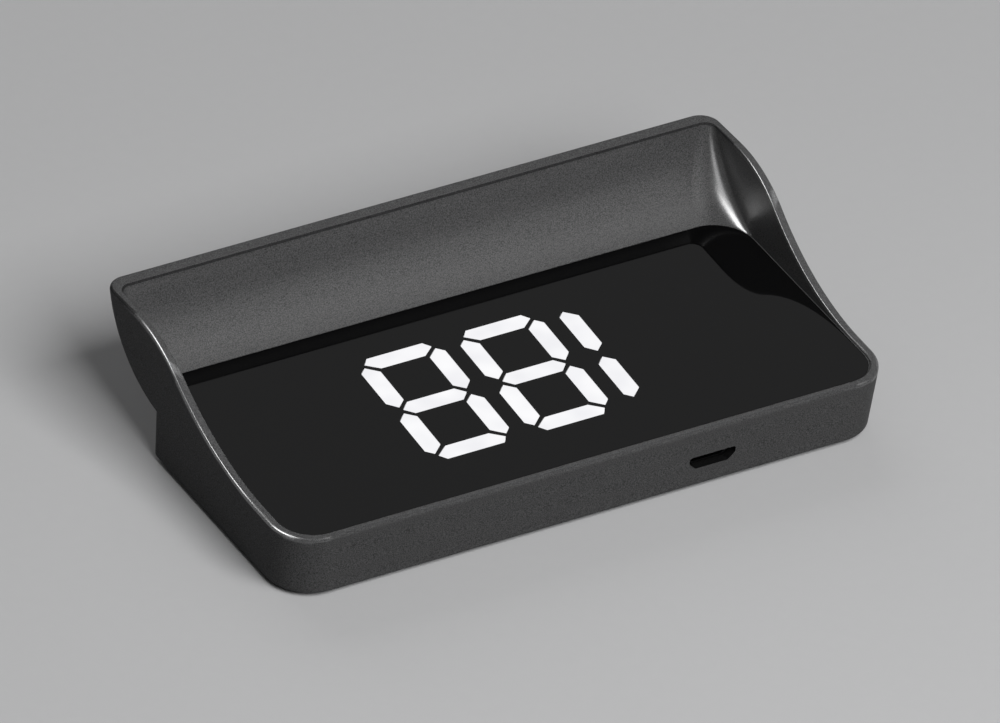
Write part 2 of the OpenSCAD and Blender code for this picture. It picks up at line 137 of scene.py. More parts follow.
# The rim's line, from the front to the back
RIM_Z = 10.6
RIM_FLAT_Y = -9.2
RIM_HOLLOW_R = 40.0
RIM_SHOULDER_R = 19.0
RIM_SLOPE = math.radians(34.7)
RIM_FALL = math.radians(2.5)

# Corners seen from above
FRONT_R = 6.5
BASE_BACK_R = 2.0
HOOD_BACK_R = 3.0
CORNER_GROWTH = 4  # the corner has its full radius this far out along the hood

# The hood's outer face is an arc about an axis along X. It starts just above the base's back wall.
HOOD_R = 15.0
HOOD_AXIS = (19.7, 23.6)
HOOD_LEAD_IN = 0.05
HOOD_ARC = (-86, -1)  # degrees

# The recess's back face is an arc from its foot, at the window, up to its lip
FOOT_GAP = 0.15  # behind the window
RECESS_FOOT = (window_high.y + FOOT_GAP, window_high.z)
RECESS_LIP = (31.9, 20.85)
RECESS_R = 16.1
RECESS_END = math.radians(-2)
RECESS_FOOT_R = 6.0
RECESS_LIP_R = 1.6
SEAT_GAP = 0.1
SEAT_DROP = 0.02

DECK_Z = 9.4
DECK_UNDER = 8.0
CAVITY_W = 94.0
CAVITY_Y = 17.6
CAVITY_FRONT_R = 5
CAVITY_BACK_R = 1.5

# The micro-B opening in the front wall
MOUTH_Z = 4.85
MOUTH_W = 7.5
MOUTH_H = 2.15
MOUTH_BEVEL = 1.1
MOUTH_RADII = [0.4, 0.5, 0.6, 0.6, 0.5, 0.4]
MOUTH_REACH = 3  # of its cutter, to either side of the wall's foot

# The dial's slot, and what the deck makes room for
SLOT_W = 9.8
SLOT_H = 2.8
SLOT_R = 0.6
BLOCK_GAP = 0.3
CELL_GAP = 0.2
CELL_GAP_UNDER = 0.05
LEAD_HOLE = (-24.9, -11.4, 1.3)  # x, y, radius
GUIDE_HOLE = (7.5, -13.6, 1.15)
CUT_UNDER = 1  # cutters start this far below what they cut
CUT_OVER = 0.2

# Widths of the rounded edges
EDGE_BOTTOM = 0.35
EDGE_OUTER = 0.6
EDGE_INNER = 0.3

# Finish: how much less gloss the hood wall has than the recess's sides; painted light and shade,
# that is how much lighter or darker than its plain colour the plastic is painted on some faces to
# stand in for light or shade; and how far these fade or reach
DULLER_HOOD = 0.55
# Painted light: the rim's top faces are painted lighter than the plain plastic
RIM_PAINTED_LIGHT = 1.3
# Painted highlight: the side walls' rounded rim edges are painted lighter, standing in for a bright
# line of light
EDGE_PAINTED_HIGHLIGHT = 1.9
# Painted shade: a dark line painted along the rim's edge at the back of the hood
CREASE_PAINTED_SHADE = 0.4
# Painted shade: the faces inside the socket's opening are painted almost black
MOUTH_PAINTED_SHADE = 0.1
HOOD_FADE = 3
WEAR_AND_HIGHLIGHT_FADE = 9
WEAR_SHARE = 0.8  # of a rounded edge's width
HOOD_CORNER = 1  # from a side wall to where the hood wall's gloss starts to fade
SEAT_MARGIN = 0.3
MOUTH_MARGIN = 0.05
MOUTH_SKIN = 0.1
SIDE_WALL_X = CASE_W / 2 - WALL - 0.3  # past this lie the side walls' edges
POINTS_AT_RIM = 0.02  # points this near to the rim's line lie on its flat
FACES_AT_RIM = 0.03

# How finely the skin is divided
CORNER_STEPS = 20
SIDE_STEPS = 90
END_STEPS = 24
WALL_ROWS = 10
HOOD_ROWS = 30
RECESS_ROWS = 30
ARC_LEVELS = 120
BOTTOM_EDGE_ROWS = 4
OUTER_EDGE_ROWS = 7
INNER_EDGE_ROWS = 5


def half_width(z):
    return CASE_W / 2 - (RIM_Z - z) * LEAN


def front_at(z):
    return -BASE_FRONT - (z - SHELL_Z0) * LEAN


def rim_height(y):
    """Height of the rim over a place along Y: flat, hollow, shoulder, then a slight fall."""
    hollow_end = RIM_FLAT_Y + RIM_HOLLOW_R * math.sin(RIM_SLOPE)
    hollow_top = RIM_Z + RIM_HOLLOW_R * (1 - math.cos(RIM_SLOPE))
    crown_y = hollow_end + RIM_SHOULDER_R * math.sin(RIM_SLOPE)
    crown_axis_z = hollow_top - RIM_SHOULDER_R * math.cos(RIM_SLOPE)
    fall_y = crown_y + RIM_SHOULDER_R * math.sin(RIM_FALL)
    fall_top = crown_axis_z + RIM_SHOULDER_R * math.cos(RIM_FALL)
    into_hollow = np.clip(y - RIM_FLAT_Y, 0, RIM_HOLLOW_R)
    flat = np.full_like(y, RIM_Z)
    hollow = RIM_Z + RIM_HOLLOW_R - np.sqrt(RIM_HOLLOW_R**2 - into_hollow**2)
    crown = crown_axis_z + np.sqrt(np.maximum(RIM_SHOULDER_R**2 - (y - crown_y) ** 2, 0))
    fall = fall_top - (y - fall_y) * math.tan(RIM_FALL)
    return np.select([y < RIM_FLAT_Y, y < hollow_end, y < fall_y], [flat, hollow, crown], fall)


def plan(w, front, back, front_r, back_r):
    """A rounded rectangle as (x, y) rows, anticlockwise from the front right corner."""
    corners = [
        (w - front_r, front + front_r, front_r, -90),
        (w - back_r, back - back_r, back_r, 0),
        (back_r - w, back - back_r, back_r, 90),
        (front_r - w, front + front_r, front_r, 180),
    ]
    steps = [SIDE_STEPS, END_STEPS, SIDE_STEPS, END_STEPS]
    rows = []
    for i, (x, y, r, start) in enumerate(corners):
        angles = np.radians(start + 90 * np.arange(CORNER_STEPS + 1) / CORNER_STEPS)
        arc = np.stack([x + r * np.cos(angles), y + r * np.sin(angles)], axis=1)
        rows.append(arc)
        nx, ny, nr, nstart = corners[(i + 1) % 4]
        turn = math.radians(nstart)
        goal = np.array([nx + nr * math.cos(turn), ny + nr * math.sin(turn)])
        share = np.arange(1, steps[i])[:, None] / steps[i]
        rows.append(arc[-1] + share * (goal - arc[-1]))
    return np.concatenate(rows)


def level(w, front, back, front_r, back_r, z):
    xy = plan(w, front, back, front_r, back_r)
    return np.column_stack([xy, np.full(len(xy), z)])


def outer_level(back, z, back_r):
    return level(half_width(z), front_at(z), back, FRONT_R, back_r, z)


def recess_level(back, z):
    share = min(max((z - RECESS_FOOT[1]) / (RECESS_LIP[1] - RECESS_FOOT[1]), 0), 1)
    back_r = RECESS_FOOT_R + (RECESS_LIP_R - RECESS_FOOT_R) * share
    return level(half_width(z) - WALL, front_at(z) + WALL, back, FRONT_R - WALL, back_r, z)


def arc_axis(p, q, r):
    """Centre of the arc of radius r from p up to q that is hollow towards the front."""
    p, q = np.array(p), np.array(q)
    chord = q - p
    length = np.linalg.norm(chord)
    across = np.array([-chord[1], chord[0]]) / length
    return (p + q) / 2 + math.sqrt(r * r - length**2 / 4) * across


def cut_at_rim(levels):
    """Each column of the stacked levels, followed up to the rim, and the points where they end."""
    stack = np.array(levels)
    over = stack[:, :, 2] - rim_height(stack[:, :, 1])
    columns, crests = [], []
    for j in range(stack.shape[1]):
        above = int(np.argmax(over[:, j] > 0))
        share = over[above - 1, j] / (over[above - 1, j] - over[above, j])
        crest = stack[above - 1, j] + share * (stack[above, j] - stack[above - 1, j])
        columns.append(np.vstack([stack[:above, j], crest]))
        crests.append(crest)
    return columns, np.array(crests)


def spaced(column, rows, stop_short):
    """Points spaced evenly along a column, from its start to a short way before its end."""
    steps = np.linalg.norm(np.diff(column, axis=0), axis=1)
    along = np.concatenate([[0], np.cumsum(steps)])
    goals = np.linspace(0, along[-1] - stop_short, rows)
    return np.column_stack([np.interp(goals, along, column[:, k]) for k in range(3)])


def rounded(before, corner, after, steps):
    """Rows that round the corner between two rows of points."""
    rows = []
    for i in range(1, steps):
        turn = math.pi / 2 * i / steps
        from_before = (before - corner) * (1 - math.sin(turn))
        to_after = (after - corner) * (1 - math.cos(turn))
        rows.append(corner + from_before + to_after)
    return rows


def towards(a, b, distance):
    step = b - a
    return a + step / np.linalg.norm(step, axis=1, keepdims=True) * distance


def shell_rows():
    """All the rows of the case's skin: from its underside's edge, over the rim, to the deck."""
    hood_start = HOOD_AXIS[1] - HOOD_R - HOOD_LEAD_IN
    bottom = outer_level(BASE_BACK, SHELL_Z0, BASE_BACK_R)
    inset = level(
        half_width(SHELL_Z0) - EDGE_BOTTOM,
        front_at(SHELL_Z0) + EDGE_BOTTOM,
        BASE_BACK - EDGE_BOTTOM,
        FRONT_R - EDGE_BOTTOM,
        BASE_BACK_R - EDGE_BOTTOM,
        SHELL_Z0,
    )
    lowest = outer_level(BASE_BACK, SHELL_Z0 + EDGE_BOTTOM, BASE_BACK_R)
    rows = [inset] + rounded(inset, bottom, lowest, BOTTOM_EDGE_ROWS)
    heights = np.linspace(SHELL_Z0 + EDGE_BOTTOM, hood_start, WALL_ROWS)
    rows += [outer_level(BASE_BACK, z, BASE_BACK_R) for z in heights[:-1]]

    levels = [outer_level(BASE_BACK, hood_start, BASE_BACK_R)]
    for a in np.radians(np.linspace(*HOOD_ARC, ARC_LEVELS)):
        y, z = HOOD_AXIS[0] + HOOD_R * math.cos(a), HOOD_AXIS[1] + HOOD_R * math.sin(a)
        spread = min((y - BASE_BACK) / CORNER_GROWTH, 1)
        levels.append(outer_level(y, z, BASE_BACK_R + (HOOD_BACK_R - BASE_BACK_R) * spread))
    hood, outer_crest = cut_at_rim(levels)

    axis = arc_axis(RECESS_FOOT, RECESS_LIP, RECESS_R)
    foot_angle = math.atan2(RECESS_FOOT[1] - axis[1], RECESS_FOOT[0] - axis[0])
    levels = []
    for a in np.linspace(foot_angle, RECESS_END, ARC_LEVELS):
        y, z = axis[0] + RECESS_R * math.cos(a), axis[1] + RECESS_R * math.sin(a)
        levels.append(recess_level(y, z))
    recess, inner_crest = cut_at_rim(levels)

    below_outer = np.array([spaced(c, 2, EDGE_OUTER)[-1] for c in hood])
    below_inner = np.array([spaced(c, 2, EDGE_INNER)[-1] for c in recess])
    top_outer = towards(outer_crest, inner_crest, EDGE_OUTER)
    top_inner = towards(inner_crest, outer_crest, EDGE_INNER)
    hood_grid = np.array([spaced(c, HOOD_ROWS, EDGE_OUTER) for c in hood])
    recess_grid = np.array([spaced(c, RECESS_ROWS, EDGE_INNER) for c in recess])

    rows += [hood_grid[:, k] for k in range(HOOD_ROWS)]
    rows += rounded(below_outer, outer_crest, top_outer, OUTER_EDGE_ROWS)
    rows += [top_outer, top_inner]
    rows += rounded(top_inner, inner_crest, below_inner, INNER_EDGE_ROWS)
    rows += [recess_grid[:, k] for k in range(RECESS_ROWS - 1, -1, -1)]
    seat = (
        window_high.x + SEAT_GAP,
        window_low.y - SEAT_GAP,
        window_high.y + SEAT_GAP,
        FRONT_R - WALL,
        RECESS_FOOT_R - SEAT_GAP,
    )
    rows += [level(*seat, window_high.z - SEAT_DROP), level(*seat, DECK_Z)]
    return rows


# ------------------------------------------------------------------------------- mesh making
def new_piece(name, vertices, faces):
    mesh = bpy.data.meshes.new(name)
    mesh.from_pydata([Vector(v) * MM for v in vertices], [], faces)
    mesh.update()
    piece = bpy.data.objects.new(name, mesh)
    scene.collection.objects.link(piece)
    return piece


def skin_of(name, rows):
    """A closed mesh through rows of points, with a flat face on its first and last rows."""
    count = len(rows[0])
    vertices = np.concatenate(rows)
    faces = []
    for i in range(len(rows) - 1):
        for j in range(count):
            k = (j + 1) % count
            this, above = i * count, (i + 1) * count
            faces.append((this + j, this + k, above + k, above + j))
    faces.append(tuple(range(count - 1, -1, -1)))
    faces.append(tuple(range((len(rows) - 1) * count, len(rows) * count)))
    return new_piece(name, vertices, faces)


def prism(name, outline, start, end, axis):
    """An outline of (a, b) points pushed from start to end along an axis."""
    place = {
        "z": lambda a, b, c: (a, b, c),
        "y": lambda a, b, c: (a, c, b),
        "x": lambda a, b, c: (c, a, b),
    }[axis]
    rows = [[place(a, b, c) for a, b in outline] for c in (start, end)]
    piece = skin_of(name, rows)
    tidy(piece)
    return piece


MERGE = 1e-7  # metres: points nearer than this are one


def tidy(piece, merge=MERGE):
    """Joins doubled points and turns every face outwards."""
    cut = bmesh.new()
    cut.from_mesh(piece.data)
    bmesh.ops.remove_doubles(cut, verts=cut.verts, dist=merge)
    bmesh.ops.recalc_face_normals(cut, faces=cut.faces)
    cut.to_mesh(piece.data)
    cut.free()


def rounded_outline(corners, radii, steps=8):
    """A polygon with each corner rounded by its own radius."""
    count = len(corners)
    outline = []
    for i in range(count):
        here = Vector(corners[i])
        back = (Vector(corners[i - 1]) - here).normalized()
        ahead = (Vector(corners[(i + 1) % count]) - here).normalized()
        half = back.angle(ahead) / 2
        reach = radii[i] / math.tan(half)
        axis = here + (back + ahead).normalized() * (radii[i] / math.sin(half))
        first, last = here + back * reach - axis, here + ahead * reach - axis
        for k in range(steps + 1):
            spoke = first.normalized().slerp(last.normalized(), k / steps)
            outline.append(tuple(axis + spoke * radii[i]))
    return outline


def rectangle(x0, x1, y0, y1):
    return [(x0, y0), (x1, y0), (x1, y1), (x0, y1)]


def disc(x, y, r, steps=40):
    turns = [2 * math.pi * k / steps for k in range(steps)]
    return [(x + r * math.cos(turn), y + r * math.sin(turn)) for turn in turns]


def cut_out(piece, cutters):
    """Cuts the cutters from the piece, and deletes them."""
    for cutter in cutters:
        step = piece.modifiers.new("step", "BOOLEAN")
        step.object = cutter
        step.operation = "DIFFERENCE"
        step.solver = "EXACT"
    bake_modifiers(piece)
    for cutter in cutters:
        bpy.data.objects.remove(cutter)


def bake_modifiers(piece):
    """Replaces a piece's mesh by what its modifiers make of it."""
    made = piece.evaluated_get(bpy.context.evaluated_depsgraph_get())
    whole = bpy.data.meshes.new_from_object(made)
    piece.modifiers.clear()
    old = piece.data
    piece.data = whole
    bpy.data.meshes.remove(old)


def smooth(piece, degrees=32):
    """Shades smooth, with crisp edges where faces meet at more than an angle."""
    piece.data.polygons.foreach_set("use_smooth", [True] * len(piece.data.polygons))
    piece.data.set_sharp_from_angle(angle=math.radians(degrees))
    weigh = piece.modifiers.new("weigh", "WEIGHTED_NORMAL")
    weigh.keep_sharp = True
    bake_modifiers(piece)


# --------------------------------------------------------------------------------- materials
NOISE_ENDS = (0.3, 0.7)  # most of a noise's values lie between these


def new_material(name):
    material = bpy.data.materials.new(name)
    material.use_nodes = True
    tree = material.node_tree
    return material, tree, tree.nodes["Principled BSDF"]


def speckle(tree, size, detail=3.0):
    """Noise whose grains are about `size` millimetres across."""
    place = tree.nodes.new("ShaderNodeTexCoord")
    noise = tree.nodes.new("ShaderNodeTexNoise")
    noise.inputs["Scale"].default_value = 1 / (size * MM)
    noise.inputs["Detail"].default_value = detail
    tree.links.new(place.outputs["Object"], noise.inputs["Vector"])
    return noise


def ramp(tree, source, low, high):
    """Turns a noise value into a colour or a grey between two ends."""
    node = tree.nodes.new("ShaderNodeValToRGB")
    for element, position, colour in zip(node.color_ramp.elements, NOISE_ENDS, (low, high)):
        element.position = position
        element.color = (*colour, 1)
    tree.links.new(source, node.inputs["Fac"])
    return node


def surface(name, colour, spread=0.12, grain=0.25, blotch=6.0, rough=0.5, rough_spread=0.06,
            bump=0.1, depth=0.02, metallic=0.0, ior=1.46, clouding=0.3):
    """A moulded, sintered or plated surface: fine grain, faint larger blotches, uneven roughness.

    Grain, blotch and depth are in millimetres, spreads are to either side, and clouding is the
    blotches' share of the change in colour.
    """
    material, tree, shader = new_material(name)
    fine = speckle(tree, grain)
    wide = speckle(tree, blotch, detail=2.0)
    mix = tree.nodes.new("ShaderNodeMath")
    mix.operation = "MULTIPLY_ADD"
    tree.links.new(fine.outputs["Fac"], mix.inputs[0])
    mix.inputs[1].default_value = 1 - clouding
    scaled = tree.nodes.new("ShaderNodeMath")
    scaled.operation = "MULTIPLY"
    scaled.inputs[1].default_value = clouding
    tree.links.new(wide.outputs["Fac"], scaled.inputs[0])
    tree.links.new(scaled.outputs[0], mix.inputs[2])
    dark = [c * (1 - spread) for c in colour]
    light = [min(c * (1 + spread), 1) for c in colour]
    tint = ramp(tree, mix.outputs[0], dark, light)
    tree.links.new(tint.outputs["Color"], shader.inputs["Base Color"])
    sleek, coarse = [rough - rough_spread] * 3, [rough + rough_spread] * 3
    dull = ramp(tree, wide.outputs["Fac"], sleek, coarse)
    tree.links.new(dull.outputs["Color"], shader.inputs["Roughness"])
    relief = tree.nodes.new("ShaderNodeBump")
    relief.inputs["Strength"].default_value = bump
    relief.inputs["Distance"].default_value = depth * MM
    tree.links.new(fine.outputs["Fac"], relief.inputs["Height"])
    tree.links.new(relief.outputs["Normal"], shader.inputs["Normal"])
    shader.inputs["Metallic"].default_value = metallic
    shader.inputs["IOR"].default_value = ior
    return material


def own_mark(tree, mark):
    """One of the mesh's own marks, as a value."""
    node = tree.nodes.new("ShaderNodeAttribute")
    node.attribute_name = mark
    return node.outputs["Fac"]


def graded(tree, mark, low, high):
    """A value that goes from low to high with one of the mesh's own marks."""
    scale = tree.nodes.new("ShaderNodeMapRange")
    scale.inputs["To Min"].default_value = low
    scale.inputs["To Max"].default_value = high
    tree.links.new(own_mark(tree, mark), scale.inputs["Value"])
    return scale.outputs["Result"]


def case_plastic():
    """Dark grey, fine spark-eroded grain, with gloss inside the recess and along worn, polished
    edges. Its colour also carries painted light and shade from a face mark: lighter rim tops, a
    painted highlight on the side rim edges, painted shade at the hood's lip and in the socket's
    opening.
    """
    material = surface("case_plastic", (0.037, 0.037, 0.0375), spread=0.6, grain=0.16, blotch=30,
                       rough=0.46, rough_spread=0.01, bump=0.4, depth=0.03, ior=1.4, clouding=0.04)
    tree = material.node_tree
    shader = tree.nodes["Principled BSDF"]
    coat = tree.nodes.new("ShaderNodeMath")
    coat.operation = "MAXIMUM"
    tree.links.new(graded(tree, "inside", 0.0, 0.8), coat.inputs[0])
    tree.links.new(graded(tree, "edge", 0.0, 1.0), coat.inputs[1])
    tree.links.new(coat.outputs[0], shader.inputs["Coat Weight"])
    tree.links.new(graded(tree, "inside", 0.05, 0.1), shader.inputs["Specular IOR Level"])
    # Painted light and shade: the base colour is scaled by the mesh's face mark, lighter or darker
    # face by face
    plain = shader.inputs["Base Color"].links[0].from_socket
    shaded = tree.nodes.new("ShaderNodeVectorMath")
    shaded.operation = "SCALE"
    tree.links.new(plain, shaded.inputs[0])
    tree.links.new(own_mark(tree, "painted_light_and_shade"), shaded.inputs["Scale"])
    tree.links.new(shaded.outputs["Vector"], shader.inputs["Base Color"])
    shader.inputs["Coat Roughness"].default_value = 0.25
    shader.inputs["Coat IOR"].default_value = 1.8
    return material


def window_gloss():
    """Polished smoked acrylic, almost black."""
    return surface("window_gloss", (0.0006, 0.0006, 0.0007), spread=0.1, grain=1.5, blotch=14,
                   rough=0.035, rough_spread=0.008, bump=0.0, depth=0.001, ior=1.25)


def lit_white():
    """A glowing diffuser: even white light with a faint falling off between its lamps."""
    material, tree, shader = new_material("lit_white")
    cloud = speckle(tree, 5.0, detail=1.0)
    glow = ramp(tree, cloud.outputs["Fac"], (0.9, 0.9, 0.93), (0.985, 0.985, 1.0))
    tree.links.new(glow.outputs["Color"], shader.inputs["Emission Color"])
    shader.inputs["Emission Strength"].default_value = 0.93
    tint = ramp(tree, cloud.outputs["Fac"], (0.02, 0.02, 0.02), (0.03, 0.03, 0.03))
    tree.links.new(tint.outputs["Color"], shader.inputs["Base Color"])
    shader.inputs["Roughness"].default_value = 0.5
    return material


def drawn_metal(name, colour, rough):
    return surface(name, colour, spread=0.08, grain=0.12, blotch=3.0, rough=rough,
                   rough_spread=0.08, bump=0.12, depth=0.01, metallic=1.0)


def moulding(name, colour, rough=0.5, bump=0.15):
    return surface(name, colour, spread=0.1, grain=0.2, blotch=5.0, rough=rough, bump=bump)


# Each slot's maker, colour and other settings
LOOKS = {
    "cover_plastic": (moulding, (0.032, 0.032, 0.033), dict(rough=0.52, bump=0.35)),
    "pad_rubber": (surface, (0.018, 0.018, 0.018), dict(grain=0.5, rough=0.62, bump=0.3)),
    "adhesive_film": (moulding, (0.7, 0.68, 0.6), dict(rough=0.4)),
    "reflector_white": (moulding, (0.8, 0.8, 0.78), dict(rough=0.45)),
    "foam_black": (surface, (0.025, 0.025, 0.025), dict(
        grain=0.35, rough=0.9, bump=0.6, depth=0.1)),
    "led_package": (moulding, (0.85, 0.78, 0.4), dict(rough=0.3)),
    "board_laminate": (surface, (0.012, 0.12, 0.05), dict(grain=0.4, rough=0.35, bump=0.1)),
    "screw_steel": (drawn_metal, (0.5, 0.5, 0.52), dict(rough=0.3)),
    "chip_black": (moulding, (0.02, 0.02, 0.021), dict(rough=0.6)),
    "tinned_metal": (drawn_metal, (0.68, 0.68, 0.69), dict(rough=0.36)),
    "ferrite_grey": (moulding, (0.07, 0.07, 0.075), dict(rough=0.7, bump=0.3)),
    "ceramic_tan": (moulding, (0.5, 0.37, 0.23), dict(rough=0.6)),
    "silver_plate": (drawn_metal, (0.8, 0.8, 0.78), dict(rough=0.4)),
    "buzzer_plastic": (moulding, (0.02, 0.02, 0.02), dict(rough=0.4)),
    "clear_plastic": (moulding, (0.7, 0.75, 0.8), dict(rough=0.15, bump=0.02)),
    # Darker than plain steel: painted shade, so that the socket shell seen in its opening looks
    # black
    "socket_steel": (drawn_metal, (0.2, 0.2, 0.21), dict(rough=0.35)),
    "tongue_black": (moulding, (0.015, 0.015, 0.015), dict(rough=0.5)),
    "contact_brass": (drawn_metal, (0.75, 0.55, 0.2), dict(rough=0.25)),
    "battery_foil": (surface, (0.6, 0.61, 0.63), dict(
        spread=0.05, grain=0.8, blotch=4, rough=0.38, rough_spread=0.1, bump=0.3, depth=0.05,
        metallic=0.9)),
    "wire_red": (moulding, (0.45, 0.015, 0.015), dict(rough=0.35)),
    "wire_black": (moulding, (0.015, 0.015, 0.015), dict(rough=0.35)),
    "connector_nylon": (moulding, (0.75, 0.72, 0.62), dict(rough=0.45)),
    "silicon_blue": (surface, (0.012, 0.018, 0.05), dict(
        spread=0.3, grain=2.5, blotch=8, rough=0.2, bump=0.02)),
    "dial_plastic": (moulding, (0.03, 0.03, 0.031), dict(rough=0.42, bump=0.2)),
    "switch_black": (moulding, (0.02, 0.02, 0.02), dict(rough=0.5)),
    "spring_steel": (drawn_metal, (0.55, 0.55, 0.57), dict(rough=0.28)),
}
materials = {
    "case_plastic": case_plastic(),
    "window_black": window_gloss(),
    "lit_figure": lit_white(),
}
for slot, (make, colour, settings) in LOOKS.items():
    materials[slot] = make(slot, colour, **settings)

record = frame["record"]
slot_of = {part["node"]: part["material_slot"] for part in record["subparts"]}
bodies = record["behaviour"]["bodies"]
body_of = {name: body for body, names in bodies.items() for name in names}


def dress_cad_nodes():
    for name, node in frame["nodes"].items():
        node.data.materials.clear()
        node.data.materials.append(materials[slot_of[name]])


def dress(piece, slot, body):
    piece.data.materials.clear()
    piece.data.materials.append(materials[slot])
    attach(piece, body)


# ---------------------------------------------------------------------------------- the case
def socket_cutter():
    """The micro-B opening: flat on top, with bevelled and softened lower corners."""
    x = (socket_low.x + socket_high.x) / 2
    left, right = x - MOUTH_W / 2, x + MOUTH_W / 2
    low, top = MOUTH_Z - MOUTH_H / 2, MOUTH_Z + MOUTH_H / 2
    corners = [
        (left, top), (left, low + MOUTH_BEVEL), (left + MOUTH_BEVEL, low),
        (right - MOUTH_BEVEL, low), (right, low + MOUTH_BEVEL), (right, top),
    ]
    outline = rounded_outline(corners, MOUTH_RADII)
    start, end = -BASE_FRONT - MOUTH_REACH, -BASE_FRONT + MOUTH_REACH
    return prism("socket_cutter", outline, start, end, "y")


def outline_round(low, high, gap):
    """A rectangle round a node's box, seen from above, with a gap on every side."""
    return rectangle(low.x - gap, high.x + gap, low.y - gap, high.y + gap)


def case_cutters():
    """Everything that is cut out of the case's closed skin."""
    y = (dial_low.y + dial_high.y) / 2
    z = (dial_low.z + dial_high.z) / 2
    slot = rectangle(y - SLOT_W / 2, y + SLOT_W / 2, z - SLOT_H / 2, z + SLOT_H / 2)
    slot = rounded_outline(slot, [SLOT_R] * 4)
    cavity = rectangle(-CAVITY_W / 2, CAVITY_W / 2, -CAVITY_Y, CAVITY_Y)
    cavity = rounded_outline(cavity, [CAVITY_FRONT_R] * 2 + [CAVITY_BACK_R] * 2)
    around_block = outline_round(block_low, block_high, BLOCK_GAP)
    around_cell = outline_round(cell_low, cell_high, CELL_GAP)
    under, over = DECK_UNDER - CUT_UNDER, DECK_Z + CUT_OVER
    return [
        socket_cutter(),
        prism("dial_cutter", slot, CAVITY_W / 2 - CUT_UNDER, CASE_W, "x"),
        prism("cavity_cutter", cavity, -CUT_UNDER, DECK_UNDER, "z"),
        prism("block_cutter", around_block, under, over, "z"),
        prism("cell_cutter", around_cell, cell_low.z - CELL_GAP_UNDER, over, "z"),
        prism("lead_cutter", disc(*LEAD_HOLE), under, over, "z"),
        prism("guide_cutter", disc(*GUIDE_HOLE), under, over, "z"),
    ]


def set_mark(piece, name, values, domain="POINT"):
    mark = piece.data.attributes.new(name, "FLOAT", domain)
    mark.data.foreach_set("value", values.astype(float))


def wear_and_highlight_at(y):
    """How strongly the rim's edges are worn to a gloss and painted with a lighter highlight: fully
    along the sides, fading out up the hood.
    """
    return np.clip((HOOD_AXIS[0] + WEAR_AND_HIGHLIGHT_FADE - y) / WEAR_AND_HIGHLIGHT_FADE, 0, 1)


def mark_points(case):
    """Tells the material which points line the recess, and which lie on the rim's worn edges."""
    axis = arc_axis(RECESS_FOOT, RECESS_LIP, RECESS_R)
    places = np.empty(3 * len(case.data.vertices))
    case.data.vertices.foreach_get("co", places)
    x, y, z = places.reshape(-1, 3).T / MM
    below = rim_height(y) - z
    hood = HOOD_AXIS[0] + np.sqrt(HOOD_R**2 - np.clip(HOOD_AXIS[1] - z, 0, HOOD_R) ** 2)
    recess = axis[0] + np.sqrt(RECESS_R**2 - np.clip(axis[1] - z, 0, RECESS_R) ** 2)
    inside = (z > RECESS_FOOT[1] - SEAT_MARGIN) & (z < rim_height(y) - POINTS_AT_RIM)
    inside &= (y < (hood + recess) / 2) & (y > front_at(z) + WALL / 2)
    inside &= np.abs(x) < half_width(z) - WALL / 2
    edge_width = np.where(inside, EDGE_INNER, EDGE_OUTER)
    edge = (below > POINTS_AT_RIM) & (below < edge_width * WEAR_SHARE)
    edge &= np.abs(x) > CASE_W / 2 - FRONT_R
    inside &= (below > EDGE_INNER) | (y < HOOD_AXIS[0])
    from_side = CASE_W / 2 - WALL - HOOD_CORNER - np.abs(x)
    on_hood = np.clip(from_side / HOOD_FADE, 0, 1) * (y > HOOD_AXIS[0])
    set_mark(case, "inside", inside * (1 - on_hood * DULLER_HOOD))
    set_mark(case, "edge", edge * wear_and_highlight_at(y))


def mark_faces(case):
    """Paints light and shade into the case's colour: how much lighter or darker each face is
    painted than the plain plastic.
    """
    x, y, z = np.array([polygon.center for polygon in case.data.polygons]).T / MM
    below = rim_height(y) - z
    beside_rim = below >= FACES_AT_RIM
    on_side = np.abs(x) > SIDE_WALL_X
    # Painted light: the rim's top faces are lighter
    painted_light_and_shade = np.where(beside_rim, 1.0, RIM_PAINTED_LIGHT)
    # Painted highlight along the side walls' rim edges, fading out up the hood
    painted_highlight_edges = beside_rim & (below < EDGE_OUTER) & on_side
    painted_light_and_shade[painted_highlight_edges] = 1 + (EDGE_PAINTED_HIGHLIGHT - 1) * wear_and_highlight_at(y[painted_highlight_edges])
    # Painted shade: a dark line along the rim's edge at the hood's lip
    crease_painted_shade = beside_rim & (below < EDGE_INNER) & (y < RECESS_LIP[0] + WALL / 2)
    crease_painted_shade &= (y > RECESS_LIP[0] - FRONT_R) | ((y > HOOD_AXIS[0]) & ~on_side)
    painted_light_and_shade[crease_painted_shade] = CREASE_PAINTED_SHADE
    # Painted shade inside the socket's opening
    from_middle = np.abs(x - (socket_low.x + socket_high.x) / 2)
    mouth_painted_shade = from_middle < MOUTH_W / 2 + MOUTH_MARGIN
    mouth_painted_shade &= np.abs(z - MOUTH_Z) < MOUTH_H / 2 + MOUTH_MARGIN
    mouth_painted_shade &= (y < -CAVITY_Y) & (y > front_at(MOUTH_Z) + MOUTH_SKIN)
    painted_light_and_shade[mouth_painted_shade] = MOUTH_PAINTED_SHADE
    set_mark(case, "painted_light_and_shade", painted_light_and_shade, "FACE")


def make_case():
    case = skin_of("case", shell_rows())
    tidy(case)
    cut_out(case, case_cutters())
    smooth(case)
    mark_points(case)
    mark_faces(case)
    dress(case, "case_plastic", "case")
    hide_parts("upper_shell")


